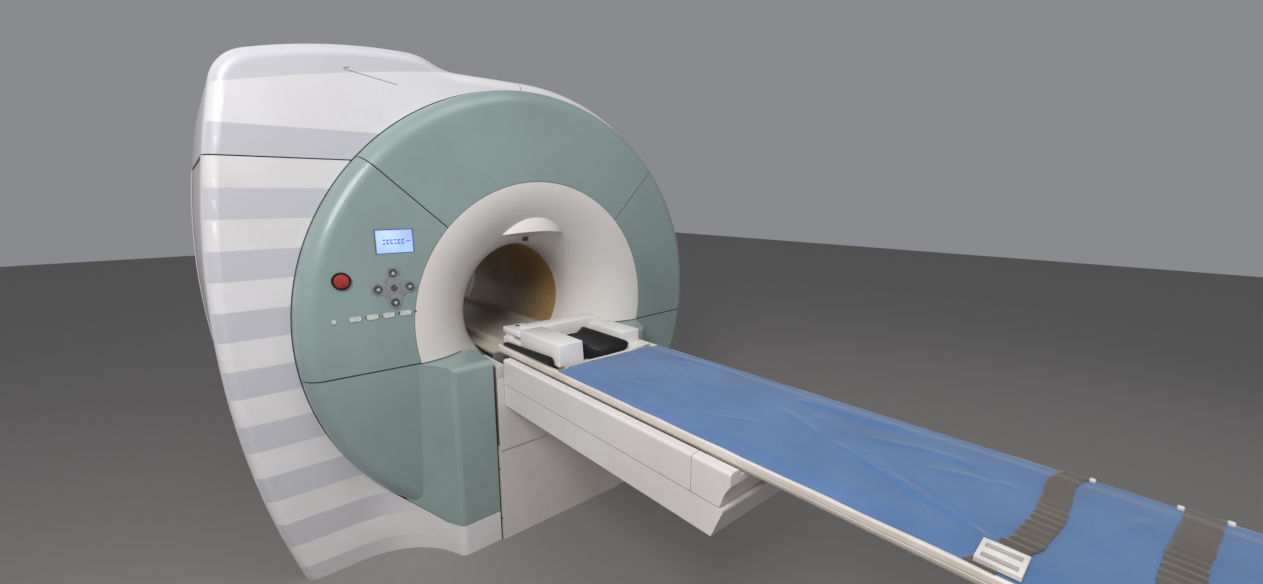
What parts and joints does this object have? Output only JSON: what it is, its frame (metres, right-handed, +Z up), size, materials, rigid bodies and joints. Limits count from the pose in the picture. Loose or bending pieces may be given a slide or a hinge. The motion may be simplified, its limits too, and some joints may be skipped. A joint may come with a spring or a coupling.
{
  "type": "mri scanner",
  "caption": "Magnetic resonance scanner: round green-fronted tunnel housing with a lifting, sliding patient table, mattress, sheet and straps.",
  "frame": {"origin": "on the floor under the middle of the tunnel, halfway between the front panels and the rear cover, at the centre of the floor anchor holes", "axes": "+Z up, +Y along the tunnel towards the rear cover (the table lies towards -Y), +X to the right seen from the table end"},
  "size_m": [2.2687, 4.09, 2.072],
  "materials": {
    "dark_steel": "satin",
    "vessel_steel": "brushed",
    "cold_steel": "satin",
    "bright_steel": "polished",
    "potted_resin": "matt",
    "tunnel_lining": "gloss",
    "funnel_white": "satin",
    "amber_lens": "gloss",
    "ring_green": "satin",
    "cover_white": "satin",
    "display_blue": "gloss",
    "black_plastic": "matt",
    "key_grey": "satin",
    "key_dark": "satin",
    "key_light": "satin",
    "stop_red": "gloss",
    "table_white": "satin",
    "bridge_white": "satin",
    "frame_alloy": "satin",
    "wheel_rubber": "matt",
    "tabletop_white": "satin",
    "coil_white": "satin",
    "pad_black": "matt",
    "mattress_grey": "matt",
    "sheet_blue": "matt",
    "strap_brown": "woven",
    "buckle_white": "satin"
  },
  "bodies": {
    "gantry": {"base_frame": "dark_steel", "vacuum_vessel": "vessel_steel", "cold_mass": "cold_steel", "cold_head": "cold_steel", "gradient_coil": "potted_resin", "bore_liner": "tunnel_lining", "front_funnel": "funnel_white", "position_laser": "amber_lens", "ring_cover_top": "ring_green", "ring_cover_left": "ring_green", "ring_cover_right": "ring_green", "nose_left": "ring_green", "nose_right": "ring_green", "side_panel_left": "cover_white", "side_cover_left": "cover_white", "top_cover": "cover_white", "right_shell": "cover_white", "rear_cover": "cover_white", "display_window": "display_blue", "stop_collar": "black_plastic", "pad_plate": "key_grey", "dock_cover": "table_white", "lower_apron": "table_white", "guide_column_left": "table_white", "guide_column_right": "table_white", "lift_actuator_left": "dark_steel", "lift_actuator_right": "dark_steel", "bore_bridge": "bridge_white"},
    "lift": {"lift_carriage": "dark_steel", "lift_rod_left": "bright_steel", "lift_rod_right": "bright_steel", "upper_apron": "table_white", "beam_frame": "frame_alloy", "beam_side_left": "table_white", "beam_side_right": "table_white", "beam_trough": "table_white", "beam_end_cap": "table_white", "slide_motor": "black_plastic"},
    "wheel": {"drive_wheel": "wheel_rubber"},
    "table": {"tabletop": "tabletop_white", "coil_base": "coil_white", "side_pad": "pad_black", "head_pad": "pad_black", "mattress": "mattress_grey", "sheet": "sheet_blue", "strap_front": "strap_brown", "strap_rear": "strap_brown", "buckle_front": "buckle_white", "buckle_rear": "buckle_white"},
    "stop_button_body": {"stop_button": "stop_red"},
    "pad_key_up_body": {"pad_key_up": "key_dark"},
    "pad_key_down_body": {"pad_key_down": "key_dark"},
    "pad_key_left_body": {"pad_key_left": "key_dark"},
    "pad_key_right_body": {"pad_key_right": "key_dark"},
    "pad_key_centre_body": {"pad_key_centre": "key_dark"},
    "row_key_1_body": {"row_key_1": "key_light"},
    "row_key_2_body": {"row_key_2": "key_light"},
    "row_key_3_body": {"row_key_3": "key_light"},
    "row_key_4_body": {"row_key_4": "key_light"},
    "row_key_5_body": {"row_key_5": "key_light"}
  },
  "joints": [
    {"name": "table_lift", "type": "slide", "parent": "gantry", "child": "lift", "axis": [0, 0, -1], "range_m": [0, 0.3]},
    {"name": "tabletop_slide", "type": "slide", "parent": "lift", "child": "table", "axis": [0, -1, 0], "range_m": [-1.6, 0.14]},
    {"name": "wheel_turn", "type": "hinge", "parent": "lift", "child": "wheel", "pos_m": [0, -1.15, 0.77], "axis": [1, 0, 0], "range_deg": [-1588.8, 139.03]},
    {"name": "stop_button_press", "type": "slide", "parent": "gantry", "child": "stop_button_body", "axis": [0.0528, 0.9985, -0.0146], "range_m": [0, 0.004], "stiffness_N_per_m": 600},
    {"name": "pad_key_up_press", "type": "slide", "parent": "gantry", "child": "pad_key_up_body", "axis": [0.0514, 0.9985, -0.019], "range_m": [0, 0.002], "stiffness_N_per_m": 600},
    {"name": "pad_key_down_press", "type": "slide", "parent": "gantry", "child": "pad_key_down_body", "axis": [0.0538, 0.9985, -0.0105], "range_m": [0, 0.002], "stiffness_N_per_m": 600},
    {"name": "pad_key_left_press", "type": "slide", "parent": "gantry", "child": "pad_key_left_body", "axis": [0.053, 0.9985, -0.0138], "range_m": [0, 0.002], "stiffness_N_per_m": 600},
    {"name": "pad_key_right_press", "type": "slide", "parent": "gantry", "child": "pad_key_right_body", "axis": [0.0523, 0.9985, -0.0162], "range_m": [0, 0.002], "stiffness_N_per_m": 600},
    {"name": "pad_key_centre_press", "type": "slide", "parent": "gantry", "child": "pad_key_centre_body", "axis": [0.0527, 0.9985, -0.0149], "range_m": [0, 0.002], "stiffness_N_per_m": 600},
    {"name": "row_key_1_press", "type": "slide", "parent": "gantry", "child": "row_key_1_body", "axis": [0.0545, 0.9985, -0.0053], "range_m": [0, 0.002], "stiffness_N_per_m": 600},
    {"name": "row_key_2_press", "type": "slide", "parent": "gantry", "child": "row_key_2_body", "axis": [0.0545, 0.9985, -0.0057], "range_m": [0, 0.002], "stiffness_N_per_m": 600},
    {"name": "row_key_3_press", "type": "slide", "parent": "gantry", "child": "row_key_3_body", "axis": [0.0544, 0.9985, -0.0062], "range_m": [0, 0.002], "stiffness_N_per_m": 600},
    {"name": "row_key_4_press", "type": "slide", "parent": "gantry", "child": "row_key_4_body", "axis": [0.0544, 0.9985, -0.0067], "range_m": [0, 0.002], "stiffness_N_per_m": 600},
    {"name": "row_key_5_press", "type": "slide", "parent": "gantry", "child": "row_key_5_body", "axis": [0.0543, 0.9985, -0.0073], "range_m": [0, 0.002], "stiffness_N_per_m": 600}
  ],
  "couplings": [
    {"joint": "wheel_turn", "follows": "tabletop_slide", "rad_per_m": 17.331}
  ]
}
